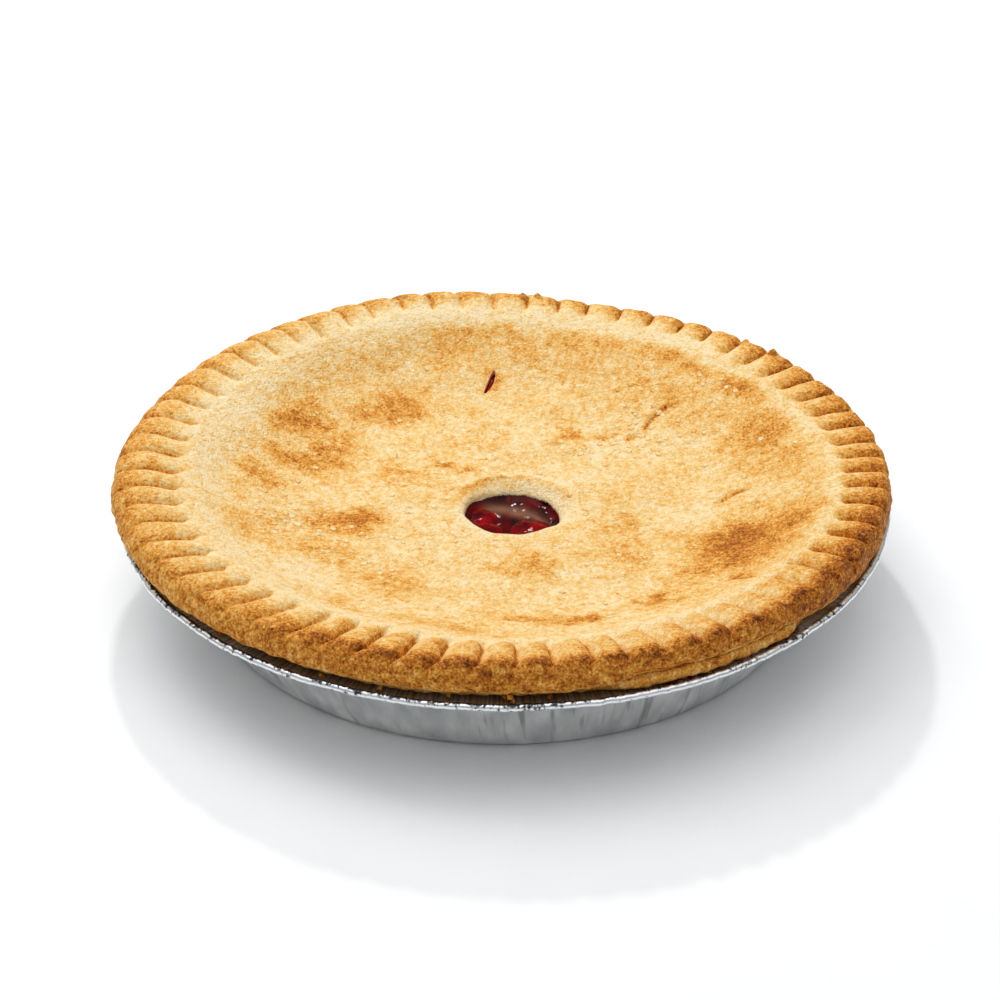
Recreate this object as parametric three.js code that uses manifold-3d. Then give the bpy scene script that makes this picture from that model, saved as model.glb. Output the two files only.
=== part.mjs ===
// A baked cherry pie in its own foil tin. The lid has sunk into a dish, and its edge is crimped all round.
// Millimetres, +Z up. The origin is the middle of the tin's foot.
import * as THREE from 'three';
import { mergeVertices } from 'three/addons/utils/BufferGeometryUtils.js';
import Module from 'manifold-3d';

// Foil tin
const FOOT_RADIUS = 85.8;
const WALL_TOP_RADIUS = 99.6;
const FLANGE_HEIGHT = 27.6;
const FOIL = 0.4;
const FOOT_CORNER = 1;
const FOOT_CORNER_RISE = 0.6;
const FLANGE_CORNER = 1.6;
const BEAD_RADIUS = 0.85;
const BEAD_LIFT = 0.05;
const BEAD_ARC = { from: -110, to: 140, steps: 5 };
const TIN_RADIUS = 111.1;
const TIN_FLUTES = 36;
const TIN_FLUTE_DEPTH = 0.5;
const FLUTES_FULL_HEIGHT = FLANGE_HEIGHT / 2;

// Base crust
const GAP = 0.3;
const WALL_GAP = 0.6;
const BASE_PASTRY = 3;
const BASE_COVE = { radius: 1.6, rise: 1 };
const BASE_TOP_EDGE_HEIGHT = 28.5;
const RIM_JOINT_HEIGHT = 31.2;
const BASE_LIP_RADIUS = 106;
const BASE_LIP_UNDERCUT = 2;
const BASE_LIP_ROUNDING = 0.7;
const BASE_SIDES = 48;

// Filling
const FILLING_LEVEL = 19.5;
const FILLING_LEVEL_RADIUS = 21.7;
const FILLING_FOOT_RADIUS = 80.5;
const FILLING_FOOT_CORNER = { radius: 1.6, rise: 1.1 };
const FILLING_EDGE_HEIGHT = 28.6;
const FILLING_EDGE_CORNER = { radius: 0.8, rise: 1.4 };
const FILLING_SIDES = 36;

// Lid
const VENT_RADIUS = 13.7;
const VENT_TAPER = 0.3;
const VENT_EDGE_HEIGHT = 23.8;
const LID_UNDERSIDE = FILLING_LEVEL + 2 * GAP;
const CRIMP_INNER_RADIUS = 92.6;
const CREST_RADIUS = 105.6;
const CREST_HEIGHT = 40.2;
const FLANK_SHOULDER = { radius: 2, drop: 2.4 };
const BULGE_RADIUS = 111.2;
const BULGE_HEIGHT = 34;
const BULGE_UNDERCUT = 1.4;
const LID_CENTRE = new THREE.Vector2(2.3, 0.5);
const BULGE_CENTRE = new THREE.Vector2(-0.9, 0.75);
const BULGE_WIDENING = new THREE.Vector2(0.7, -1.95);

// The top of the lid from the crest in to the vent, and its underside from the rim in, as radius and height.
const LID_DISH = [
  [99.3, 39.4],
  [CRIMP_INNER_RADIUS, 37.8],
  [82, 32.6],
  [66, 27.3],
  [44, 24.4],
];
const LID_UNDER_DISH = [
  [84, 29.6],
  [66, 23.6],
  [44, LID_UNDERSIDE + 0.4],
];
const LID_JOINT_RADIUS = 98;

// Stretches of the rim that baked lower or higher than the rest, in degrees of azimuth.
const RIM_SAGS = [
  { from: 2, to: 86, soft: 14, drop: 2.8 },
  { from: 100, to: 150, soft: 10, drop: -1.4 },
];
const SAG_START_HEIGHT = 31.6;

// Crimps: each is a pillow of pastry between two creases.
const CRIMPS = 65;
const STEPS_PER_CRIMP = 3;
const CRIMP_START = 0.077;
const CRIMP_SHOULDER = 0.2;
const CREASE_DEPTH = 2.4;
const CREST_NOTCH = 0.6;

// Knife slits in the lid: middle, length, width, the direction the cut runs in, and the height of its floor.
// The first goes through. The other two have shut again, and only a groove is left.
const SLITS = [
  { x: -4.3, y: 69, length: 10.5, width: 2.2, degrees: 73, floor: 18 },
  { x: 45.2, y: 49.1, length: 13, width: 0.9, degrees: 55, floor: 26 },
  { x: 66.2, y: 2.7, length: 7.5, width: 1.1, degrees: 36, floor: 25.9 },
];
const SLIT_CUTTER_HEIGHT = 20;
const SLIT_CURVE_STEPS = 4;

// Cherries that stand out of the filling under the vent hole.
const CHERRY_RADIUS = 8;
const CHERRIES = [
  { x: 6.6, y: -3.6, top: 21.3 },
  { x: -5.4, y: 0.2, top: 20.9 },
];
const CHERRY_SIDES = 14;
const CHERRY_RINGS = 9;

// Rings of a turned body lie further apart than this, so it tells them apart.
const RING_MARGIN = 1;

const wasm = await Module();
wasm.setup();

function arc(centreRadius, centreHeight, radius, { from, to, steps }) {
  return Array.from({ length: steps + 1 }, (_, i) => {
    const angle = THREE.MathUtils.degToRad(from + ((to - from) * i) / steps);
    return [centreRadius + radius * Math.cos(angle), centreHeight + radius * Math.sin(angle)];
  });
}

function weld(geometry) {
  geometry.deleteAttribute('normal');
  geometry.deleteAttribute('uv');
  return mergeVertices(geometry, 1e-3);
}

// A turned body about the Z axis. The profile is a list of [radius, height], outside going up.
function turned(profile, segments) {
  const points = profile.map(([radius, height]) => new THREE.Vector2(radius, height));
  return weld(new THREE.LatheGeometry(points, segments).rotateX(Math.PI / 2));
}

// Moves every vertex. The rule gets its radius, azimuth and height, and returns its new place.
function reshaped(geometry, rule) {
  const place = geometry.attributes.position;
  for (let i = 0; i < place.count; i++) {
    const x = place.getX(i);
    const y = place.getY(i);
    const moved = rule(Math.hypot(x, y), Math.atan2(y, x), place.getZ(i));
    place.setXYZ(i, moved.x, moved.y, moved.z);
  }
  return geometry;
}

function solid(geometry) {
  const vertProperties = geometry.attributes.position.array;
  const triVerts = new Uint32Array(geometry.index.array);
  return new wasm.Manifold(new wasm.Mesh({ numProp: 3, vertProperties, triVerts }));
}

function geometryOf(manifold) {
  const mesh = manifold.getMesh();
  return new THREE.BufferGeometry()
    .setAttribute('position', new THREE.BufferAttribute(new Float32Array(mesh.vertProperties), 3))
    .setIndex(new THREE.BufferAttribute(new Uint32Array(mesh.triVerts), 1));
}

function foilTin() {
  const beadCentre = TIN_RADIUS - BEAD_RADIUS;
  const beadHeight = FLANGE_HEIGHT + BEAD_RADIUS + BEAD_LIFT;
  const profile = [
    [0, 0],
    [FOOT_RADIUS - FOOT_CORNER, 0],
    [FOOT_RADIUS, FOOT_CORNER_RISE],
    [WALL_TOP_RADIUS, FLANGE_HEIGHT - FLANGE_CORNER],
    [WALL_TOP_RADIUS + FLANGE_CORNER, FLANGE_HEIGHT],
    ...arc(beadCentre, beadHeight, BEAD_RADIUS, BEAD_ARC),
    [beadCentre - BEAD_RADIUS, FLANGE_HEIGHT + FOIL],
    [WALL_TOP_RADIUS + FLANGE_CORNER, FLANGE_HEIGHT + FOIL],
    [WALL_TOP_RADIUS - FOIL, FLANGE_HEIGHT - FLANGE_CORNER],
    [FOOT_RADIUS - FOIL, FOOT_CORNER_RISE + FOIL],
    [FOOT_RADIUS - FOOT_CORNER, FOIL],
    [0, FOIL],
  ];
  // The flutes swell outwards from the wall, and fade out towards the foot.
  return reshaped(turned(profile, 2 * TIN_FLUTES), (radius, azimuth, height) => {
    const rise = radius < WALL_TOP_RADIUS + RING_MARGIN ? Math.min(height / FLUTES_FULL_HEIGHT, 1) : 0;
    const wave = 0.5 + 0.5 * Math.cos(TIN_FLUTES * azimuth);
    const swollen = radius + TIN_FLUTE_DEPTH * rise * wave;
    return new THREE.Vector3(swollen * Math.cos(azimuth), swollen * Math.sin(azimuth), height);
  });
}

function baseCrust() {
  const outerFoot = FOOT_RADIUS - FOIL - WALL_GAP;
  const outerTop = WALL_TOP_RADIUS - FOIL - WALL_GAP;
  const rimBottom = FLANGE_HEIGHT + FOIL + GAP;
  return turned(
    [
      [0, FOIL + GAP],
      [outerFoot - FOOT_CORNER, FOIL + GAP],
      [outerFoot, FOOT_CORNER + FOOT_CORNER_RISE],
      [outerTop, FLANGE_HEIGHT - FOIL],
      [outerTop + FLANGE_CORNER, rimBottom],
      [BASE_LIP_RADIUS - BASE_LIP_UNDERCUT, rimBottom],
      [BASE_LIP_RADIUS, (rimBottom + RIM_JOINT_HEIGHT) / 2],
      [BASE_LIP_RADIUS - BASE_LIP_ROUNDING, RIM_JOINT_HEIGHT],
      [outerTop, RIM_JOINT_HEIGHT],
      [outerTop - BASE_PASTRY, BASE_TOP_EDGE_HEIGHT],
      [outerFoot - BASE_PASTRY, FOIL + GAP + BASE_PASTRY + BASE_COVE.rise],
      [outerFoot - BASE_PASTRY - BASE_COVE.radius, FOIL + GAP + BASE_PASTRY],
      [0, FOIL + GAP + BASE_PASTRY],
    ],
    BASE_SIDES,
  );
}

// The filling's top follows the underside of the lid.
function cherryFilling() {
  const floor = FOIL + GAP + BASE_PASTRY + GAP;
  const edge = WALL_TOP_RADIUS - FOIL - WALL_GAP - BASE_PASTRY - WALL_GAP;
  const profile = [
    [0, floor],
    [FILLING_FOOT_RADIUS - FILLING_FOOT_CORNER.radius, floor],
    [FILLING_FOOT_RADIUS, floor + FILLING_FOOT_CORNER.rise],
    [edge, FILLING_EDGE_HEIGHT],
    [edge - FILLING_EDGE_CORNER.radius, FILLING_EDGE_HEIGHT + FILLING_EDGE_CORNER.rise],
    ...LID_UNDER_DISH.map(([radius, height]) => [radius, height - 2 * GAP]),
    [FILLING_LEVEL_RADIUS, FILLING_LEVEL],
    [0, FILLING_LEVEL],
  ];
  const body = reshaped(turned(profile, FILLING_SIDES), (radius, azimuth, height) => {
    const underLid = height > FILLING_LEVEL - GAP && radius < LID_UNDER_DISH[0][0] + RING_MARGIN ? 1 : 0;
    return new THREE.Vector3(
      radius * Math.cos(azimuth) + underLid * LID_CENTRE.x,
      radius * Math.sin(azimuth) + underLid * LID_CENTRE.y,
      height,
    );
  });
  return geometryOf(CHERRIES.reduce((filling, { x, y, top: crown }) => {
    const ball = new THREE.SphereGeometry(CHERRY_RADIUS, CHERRY_SIDES, CHERRY_RINGS).rotateX(Math.PI / 2);
    return filling.add(solid(weld(ball.translate(x, y, crown - CHERRY_RADIUS))));
  }, solid(body)));
}

// How far a crimp stands at this azimuth: 0 in a crease, 1 on the pillow.
function crimpStand(azimuth) {
  const turn = ((azimuth - CRIMP_START) * CRIMPS) / (2 * Math.PI);
  return Math.abs(turn - Math.round(turn)) < 0.5 / STEPS_PER_CRIMP ? 0 : 1;
}

// The sides of a pillow stand close to its creases, so its top is broad and the creases are narrow.
function crimpAzimuth(azimuth) {
  const turn = (azimuth * CRIMPS) / (2 * Math.PI);
  const nearest = Math.round(turn);
  const side = Math.sign(Math.round((turn - nearest) * STEPS_PER_CRIMP));
  return ((nearest + side * CRIMP_SHOULDER) * 2 * Math.PI) / CRIMPS + CRIMP_START;
}

function creaseDepth(radius, height) {
  const onTop = height > BULGE_HEIGHT + RING_MARGIN;
  if (!onTop || radius < CRIMP_INNER_RADIUS - RING_MARGIN) return 0;
  if (radius < CRIMP_INNER_RADIUS + RING_MARGIN) return CREST_NOTCH;
  return radius < CREST_RADIUS - RING_MARGIN ? CREASE_DEPTH : CREST_NOTCH;
}

// How far the rim has sagged at this azimuth. The sag fades out down the flank and into the dish.
function rimSag(azimuth, height) {
  const degrees = THREE.MathUtils.euclideanModulo(THREE.MathUtils.radToDeg(azimuth) + 90, 360) - 90;
  const share = THREE.MathUtils.clamp((height - SAG_START_HEIGHT) / (CREST_HEIGHT - SAG_START_HEIGHT), 0, 1);
  const { smoothstep } = THREE.MathUtils;
  return RIM_SAGS.reduce((sum, { from, to, soft, drop }) => {
    const begun = smoothstep(degrees, from - soft, from + soft);
    const ended = smoothstep(degrees, to - soft, to + soft);
    return sum + share * drop * begun * (1 - ended);
  }, 0);
}

// The lid and the crest of its crimps are round about LID_CENTRE. The bulging edge has slumped to one side.
function lidPlace(radius, azimuth) {
  const slump = THREE.MathUtils.clamp((radius - CREST_RADIUS) / (BULGE_RADIUS - CREST_RADIUS), 0, 1);
  const even = new THREE.Vector2(radius * Math.cos(azimuth), radius * Math.sin(azimuth)).add(LID_CENTRE);
  const slumped = new THREE.Vector2(
    (radius + BULGE_WIDENING.x) * Math.cos(azimuth),
    (radius + BULGE_WIDENING.y) * Math.sin(azimuth),
  ).add(BULGE_CENTRE);
  return even.lerp(slumped, slump);
}

function lidCrust() {
  const profile = [
    [VENT_RADIUS - VENT_TAPER, LID_UNDERSIDE],
    ...LID_UNDER_DISH.toReversed(),
    [LID_JOINT_RADIUS, RIM_JOINT_HEIGHT + GAP],
    [BULGE_RADIUS - BULGE_UNDERCUT, RIM_JOINT_HEIGHT + GAP],
    [BULGE_RADIUS, BULGE_HEIGHT],
    [BULGE_RADIUS - FLANK_SHOULDER.radius, CREST_HEIGHT - FLANK_SHOULDER.drop],
    [CREST_RADIUS, CREST_HEIGHT],
    ...LID_DISH,
    [VENT_RADIUS, VENT_EDGE_HEIGHT],
    [VENT_RADIUS - VENT_TAPER, LID_UNDERSIDE],
  ];
  const whole = reshaped(turned(profile, CRIMPS * STEPS_PER_CRIMP), (radius, azimuth, height) => {
    const moved = crimpAzimuth(azimuth);
    const place = lidPlace(radius, moved);
    const crease = creaseDepth(radius, height) * (1 - crimpStand(moved));
    return new THREE.Vector3(place.x, place.y, height - crease - rimSag(moved, height));
  });
  return geometryOf(SLITS.reduce((lid, slit) => lid.subtract(slitCutter(slit)), solid(whole)));
}

function slitCutter({ x, y, length, width, degrees, floor }) {
  const blade = new THREE.Shape()
    .moveTo(-length / 2, 0)
    .quadraticCurveTo(0, -width, length / 2, 0)
    .quadraticCurveTo(0, width, -length / 2, 0);
  const options = { depth: SLIT_CUTTER_HEIGHT, bevelEnabled: false, curveSegments: SLIT_CURVE_STEPS };
  const cutter = new THREE.ExtrudeGeometry(blade, options)
    .rotateZ(THREE.MathUtils.degToRad(degrees))
    .translate(x, y, floor);
  return solid(weld(cutter));
}

const foil = new THREE.MeshStandardMaterial({ color: '#b9bcc0', roughness: 0.35, metalness: 1 });
const filling = new THREE.MeshStandardMaterial({ color: '#6e0612', roughness: 0.12, metalness: 0 });
const basePastry = new THREE.MeshStandardMaterial({ color: '#c98a3e', roughness: 0.85, metalness: 0 });
const lidPastry = new THREE.MeshStandardMaterial({ color: '#e6b772', roughness: 0.8, metalness: 0 });

const pie = new THREE.Group();

function addPiece(name, geometry, material) {
  const piece = new THREE.Mesh(geometry, material);
  piece.name = name;
  pie.add(piece);
}

addPiece('foil_tin', foilTin(), foil);
addPiece('base_crust', baseCrust(), basePastry);
addPiece('cherry_filling', cherryFilling(), filling);
addPiece('lid_crust', lidCrust(), lidPastry);

export default pie;
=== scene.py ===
"""A baked cherry pie in its own foil tin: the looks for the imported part.
Sizes are in millimetres until a piece is placed."""
import math
import random

import bmesh
import bpy
import numpy as np
from mathutils import Matrix, Vector, noise
from mathutils.bvhtree import BVHTree


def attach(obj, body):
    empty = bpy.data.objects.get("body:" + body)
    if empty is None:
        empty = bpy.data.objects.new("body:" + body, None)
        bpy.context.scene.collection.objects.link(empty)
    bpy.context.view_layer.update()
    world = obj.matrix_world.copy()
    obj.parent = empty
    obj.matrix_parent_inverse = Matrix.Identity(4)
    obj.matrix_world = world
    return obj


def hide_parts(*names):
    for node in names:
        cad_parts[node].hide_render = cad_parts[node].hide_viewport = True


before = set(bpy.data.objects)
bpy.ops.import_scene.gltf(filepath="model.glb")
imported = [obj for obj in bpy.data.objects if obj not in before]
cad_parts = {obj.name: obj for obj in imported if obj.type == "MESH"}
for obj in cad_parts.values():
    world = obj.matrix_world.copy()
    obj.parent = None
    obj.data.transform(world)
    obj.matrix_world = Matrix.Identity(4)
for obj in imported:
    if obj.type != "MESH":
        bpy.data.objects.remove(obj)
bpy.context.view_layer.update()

MM = 0.001
TURN = math.tau
UP = Vector((0, 0, 1))
# Vertices this close to the axis are its pole, and stay on it.
AT_POLE = 1e-3

# Lid, about LID_CENTRE, from the foot of the vent's wall, over the crest, and back along the underside.
LID_CENTRE = np.array((2.3, 0.5))
BULGE_CENTRE = np.array((-0.9, 0.75))
BULGE_WIDENING = np.array((0.7, -1.95))
CREST_RADIUS = 105.6
CREST_HEIGHT = 40.2
BULGE_RADIUS = 111.2
SAG_START_HEIGHT = 31.6
LID_OUTLINE = (
    (13.4, 20.1), (13.45, 21.3), (13.7, 22.7), (14.6, 23.6), (16.6, 23.95),
    (20, 24.05), (30, 24.15), (44, 24.5), (56, 25.5), (66, 27.3),
    (74, 29.6), (82, 32.6), (88, 35.5), (92.6, 37.5), (96, 38.6),
    (99.3, 39.3), (102.8, 39.9), (105.6, 40.2), (107.8, 39.3), (109.5, 37.7),
    (110.7, 35.8), (111.2, 33.8), (110.7, 32.2), (109.2, 31.35), (104, 31.5),
    (98, 31.5), (92, 31.2), (84, 29.6), (75, 26.4), (66, 23.6),
    (55, 21.6), (44, 20.5), (28, 20.1), (13.4, 20.1),
)
# Cuts in each stretch of that outline: close together where it shows, far apart underneath.
LID_CUTS = (1, 1, 1, 1, 2, 5, 8, 6, 5, 5, 5, 4, 4, 4, 4, 4, 3, 3, 3, 3, 3, 2, 2, 2, 1, 0, 0, 0, 0, 0, 0, 0, 0)
BULGE_STOP = 21
# Radius of the vent, and how far out its ragged edge moves the lid.
VENT_RADIUS = 13.5
VENT_REACH = 23
STEPS_PER_CRIMP = 13

# Crimps: each pillow of pastry rises gently from one crease and drops steeply into the next.
CRIMPS = 65
CRIMP_START = 0.077
PILLOW_TOP = 0.62
CREASE_DEPTH = 2.6
CRIMP_INNER = (90.5, 95.5)
# Width of a crimp at the crest, and how closely its mesh is packed beside the creases.
CRIMP_WIDTH = 9.7
CREASE_PACKING = 0.095
# Sideways shift of a crease, as a share of a crimp, and the range of its depth.
CREASE_JITTER = 0.07
CREASE_DEPTHS = (0.82, 1.15)
# Radii over which a crimp's gentle side narrows, from its inner end out.
GENTLE_SIDE = (92, 105)
CREASE_SLANT = math.radians(14)

# Stretches of the rim that baked lower or higher than the rest: from, to, softness in degrees, drop.
RIM_SAGS = ((2, 86, 14, 2.8), (100, 150, 10, -1.4))

# The knife slit that stayed open, cut through the lid: middle, length, width, direction in degrees, and bend.
OPEN_SLIT = (-4.3, 69.0, 10.2, 1.8, 73, 0.4)
SLIT_BLADE_FOOT = 18
SLIT_BLADE_HEIGHT = 20
# The syrup that stands in it: shape against the slit's length and width, and its height.
SLIT_SYRUP = (0.62, 0.9, 1.2)
SLIT_SYRUP_HEIGHT = 26.2
LID_SLOPE = math.radians(15)
# Slits that shut again as the pie baked: middle, length, direction in degrees, and bend.
# One side stands over the other.
SHUT_SLITS = ((45.6, 48.6, 13.0, 52, 1.4), (38.4, 40.2, 5.0, 20, 0.4), (66.2, 2.7, 11.0, 30, 1.2))

# Browned patches on the lid: middle, half length, half width, direction in degrees, strength from 0 to 1.
PATCHES = (
    (-45, -9, 11, 6, 10, 0.52), (-61, 42, 9, 6, 40, 0.42), (-51, 31, 9, 6, 60, 0.34),
    (-62, 23, 9, 5, 150, 0.36), (-71, 11, 6, 4, 100, 0.32), (-33, 55, 10, 6, 20, 0.30),
    (-53, 71, 10, 5, 35, 0.18), (-31, 20, 6, 3, 0, 0.24), (-16, 26, 3, 2, 20, 0.34),
    (-12, 22, 2, 1.4, 0, 0.34), (18, 42, 4, 3, 30, 0.42), (29, 42, 6, 2, 10, 0.26),
    (35, -8, 8, 5, 20, 0.24), (31, -26, 9, 6, 160, 0.24), (8, -31, 9, 5, 0, 0.22),
    (-53, -27, 12, 6, 160, 0.26), (-33, -43, 11, 6, 170, 0.22), (65, -28, 15, 12, 40, 0.43),
    (57, -38, 12, 6, 30, 0.30), (65, -49, 4, 2.5, 20, 0.46), (41, -56, 6, 3.5, 20, 0.44),
    (19, -66, 7, 3.5, 5, 0.42), (5, -64, 6, 3, 0, 0.30), (83, -20, 8, 7, 70, 0.28),
    (76, 28, 10, 7, 100, 0.22), (55, 76, 12, 5, 140, 0.30), (28, 82, 14, 5, 165, 0.12),
    (-12, 82, 13, 5, 10, 0.09), (50, 55, 12, 5, 130, 0.14), (-20, -70, 12, 4, 170, 0.16),
    (-48, -62, 10, 5, 150, 0.14), (-74, -20, 8, 6, 110, 0.16), (60, 68, 8, 3.5, 136, 0.30),
    (70, 56, 9, 3.5, 122, 0.36), (84, 14, 9, 4, 97, 0.20), (80, 33, 8, 4, 112, 0.20),
)
# Paler patches, in the same way.
PALE_PATCHES = (
    (53, -8, 9, 7, 0, 0.14), (-55, -45, 13, 8, 150, 0.12), (12, 12, 12, 10, 0, 0.10),
    (62, 12, 10, 8, 60, 0.10), (-20, 6, 12, 6, 0, 0.06), (20, -50, 14, 5, 0, 0.06),
    (40, 30, 12, 8, 30, 0.08), (-78, 36, 8, 5, 110, 0.10), (0, 60, 10, 6, 90, 0.06),
)
# Spots on the edge that scorched, or tore open: x, y, height, radius, how dark, and how deep.
SCORCHED_SPOTS = (
    (-2.6, -106.8, 37.0, 0.9, 0.55, 1.2), (-4.2, -106.9, 37.4, 0.9, 0.6, 1.4),
    (-5.8, -107.0, 37.5, 0.8, 0.5, 0.9), (1.4, -107.0, 35.8, 1.3, 0.24, 0.5),
    (56.2, -89.0, 38.6, 2.6, 0.26, 0),
    (67.5, -81.5, 38.4, 2.2, 0.26, 0), (78.2, -71.8, 38.2, 2.6, 0.28, 0), (86.5, -60.5, 38.2, 2.6, 0.26, 0),
    (95.0, -47.0, 37.6, 2.4, 0.22, 0), (31.8, -100.0, 38.6, 2.2, 0.20, 0), (-37.0, -97.0, 38.6, 2.4, 0.16, 0),
    (-20.5, -103.5, 38.0, 1.8, 0.16, 0),
)


def linear(hex_colour):
    """An sRGB hex colour as linear red, green, blue and alpha."""
    parts = [int(hex_colour[i:i + 2], 16) / 255 for i in (1, 3, 5)]
    return (*[p / 12.92 if p <= 0.04045 else ((p + 0.055) / 1.055) ** 2.4 for p in parts], 1.0)


def step(value, start, end):
    """Smooth step from 0 at start to 1 at end."""
    share = np.clip((value - start) / (end - start), 0, 1)
    return share * share * (3 - 2 * share)


def turned_away(degrees, middle):
    """Degrees between two azimuths, from 0 to 180."""
    return np.abs((degrees - middle + 180) % 360 - 180)


def headings(azimuth):
    """One step outward in plan."""
    return np.column_stack((np.cos(azimuth), np.sin(azimuth)))


def ahead_and_aside(dx, dy, degrees):
    """Distances along a direction in plan, and to the left of it."""
    way = math.radians(degrees)
    return dx * math.cos(way) + dy * math.sin(way), dy * math.cos(way) - dx * math.sin(way)


def arc_weight(degrees, start, end, soft):
    """1 between two azimuths and 0 outside, with soft ends."""
    middle, half = (start + end) / 2, (end - start) / 2
    return 1 - step(turned_away(degrees, middle), half - soft / 2, half + soft / 2)


GRADIENTS = np.random.default_rng(11).normal(size=(512, 3))
GRADIENTS /= np.linalg.norm(GRADIENTS, axis=1)[:, None]
CELL_KEYS = np.array((73856093, 19349663, 83492791))


def lumps(places, size, seed, octaves=1):
    """Smooth noise at each place, with lumps about this many mm apart, from about -1 to 1."""
    total = np.zeros(len(places))
    for octave in range(octaves):
        spots = np.asarray(places, float) * (2.1**octave / size) + 7.3 * seed + 3.1 * octave
        cells = np.floor(spots)
        parts = spots - cells
        ease = parts**3 * (parts * (parts * 6 - 15) + 10)
        cells = cells.astype(np.int64)
        for corner in np.ndindex(2, 2, 2):
            key = ((cells + corner) * CELL_KEYS).sum(1)
            key ^= (key >> 13) + seed * 7919
            key ^= (key * 1274126177) >> 16
            slopes = GRADIENTS[key & 511]
            weight = np.prod(np.where(corner, ease, 1 - ease), axis=1)
            total += weight * ((parts - corner) * slopes).sum(1) * 0.6**octave
    return total * 1.9


def follow(outline, along):
    """The smooth curve through the outline's points, at these places along it."""
    points = np.array(outline, float)
    gaps = np.maximum(np.linalg.norm(np.diff(points, axis=0), axis=1), 1e-6)[:, None]
    slopes = np.diff(points, axis=0) / gaps
    inner = (slopes[:-1] * gaps[1:] + slopes[1:] * gaps[:-1]) / (gaps[:-1] + gaps[1:])
    tangents = np.vstack((slopes[:1], inner, slopes[-1:]))
    first = np.clip(along.astype(int), 0, len(points) - 2)
    t = (along - first)[:, None]
    reach = gaps[first]
    return (
        (2 * t**3 - 3 * t**2 + 1) * points[first] + (t**3 - 2 * t**2 + t) * reach * tangents[first]
        + (3 * t**2 - 2 * t**3) * points[first + 1] + (t**3 - t**2) * reach * tangents[first + 1]
    )


def spun(outline, cuts, wedges, steps):
    """Spins an outline of (radius, height) about Z: first one wedge, in steps, and then its copies all round.
    A vertex keeps its place along the outline."""
    shell = bmesh.new()
    along = shell.verts.layers.float.new("along")
    corners = [shell.verts.new((radius, 0, height)) for radius, height in outline]
    for place, corner in enumerate(corners):
        corner[along] = place
    edges = [shell.edges.new(pair) for pair in zip(corners, corners[1:])]
    for edge, cut in zip(edges, cuts):
        if cut:
            bmesh.ops.subdivide_edges(shell, edges=[edge], cuts=cut)
    axis = {"cent": (0, 0, 0), "axis": UP}
    bmesh.ops.spin(shell, geom=shell.verts[:] + shell.edges[:], angle=TURN / wedges, steps=steps, **axis)
    bmesh.ops.spin(
        shell, geom=shell.verts[:] + shell.edges[:] + shell.faces[:],
        angle=TURN * (1 - 1 / wedges), steps=wedges - 1, use_duplicate=True, **axis,
    )
    bmesh.ops.remove_doubles(shell, verts=shell.verts, dist=1e-3)
    bmesh.ops.recalc_face_normals(shell, faces=shell.faces)
    return shell


def piece_from(shell, name, material):
    """A mesh object from a bmesh in mm, still in mm."""
    mesh = bpy.data.meshes.new(name)
    shell.to_mesh(mesh)
    shell.free()
    mesh.materials.append(material)
    mesh.polygons.foreach_set("use_smooth", [True] * len(mesh.polygons))
    piece = bpy.data.objects.new(name, mesh)
    bpy.context.collection.objects.link(piece)
    return piece


def spun_piece(name, material, outline, cuts, wedges, steps):
    """A spun piece, and each vertex's first place, place along the outline, azimuth, radius and height."""
    piece = piece_from(spun(outline, cuts, wedges, steps), name, material)
    raw, along = places_of(piece.data), along_of(piece.data)
    radius, height = follow(outline, along).T
    return piece, raw, along, np.arctan2(raw[:, 1], raw[:, 0]), radius, height


def places_of(mesh):
    flat = np.empty(len(mesh.vertices) * 3)
    mesh.vertices.foreach_get("co", flat)
    return flat.reshape(-1, 3)


def put_places(mesh, places):
    mesh.vertices.foreach_set("co", np.ascontiguousarray(places, dtype=float).ravel())
    mesh.update()


def along_of(mesh):
    values = np.empty(len(mesh.vertices))
    mesh.attributes["along"].data.foreach_get("value", values)
    return values


def put_values(mesh, name, values):
    """Writes one number for each vertex, for a material to read."""
    layer = mesh.attributes.get(name) or mesh.attributes.new(name, "FLOAT", "POINT")
    layer.data.foreach_set("value", np.ascontiguousarray(values, dtype=float))


def finished(piece, slot_name, *nodes):
    """Takes a piece from mm to metres, and rides it on the body."""
    piece.data.transform(Matrix.Scale(MM, 4))
    along = piece.data.attributes.get("along")
    if along:
        piece.data.attributes.remove(along)
    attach(piece, "root")
    if nodes:
        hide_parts(*nodes)
    return piece


# ---------------------------------------------------------------- materials

def node(tree, kind, inputs=None, stops=None, **settings):
    """Adds a node with its settings. Each input is a value, or an output to link from; stops are a ramp's."""
    made = tree.nodes.new(kind)
    for name, value in settings.items():
        setattr(made, name, value)
    for name, value in (inputs or {}).items():
        if isinstance(value, bpy.types.NodeSocket):
            tree.links.new(value, made.inputs[name])
        else:
            made.inputs[name].default_value = value
    if stops:
        ramp = made.color_ramp
        while len(ramp.elements) < len(stops):
            ramp.elements.new(0.5)
        for element, (place, hex_colour) in zip(ramp.elements, stops):
            element.position = place
            element.color = linear(hex_colour)
    return made


def maths(tree, operation, *values):
    """A Math node's output, from numbers or other outputs."""
    return node(tree, "ShaderNodeMath", dict(enumerate(values)), operation=operation).outputs[0]


def ranged(tree, value, start, end, at_start, at_end):
    """Takes a value from one range to another, and holds it at both ends."""
    inputs = {"Value": value, 1: start, 2: end, 3: at_start, 4: at_end}
    return node(tree, "ShaderNodeMapRange", inputs).outputs[0]


def laid_over(tree, share, colour, hex_colour):
    """Lays a plain colour over another, by this share."""
    inputs = {0: share, 6: colour, 7: linear(hex_colour)}
    return node(tree, "ShaderNodeMix", inputs, data_type="RGBA", blend_type="MIX").outputs[2]


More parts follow.
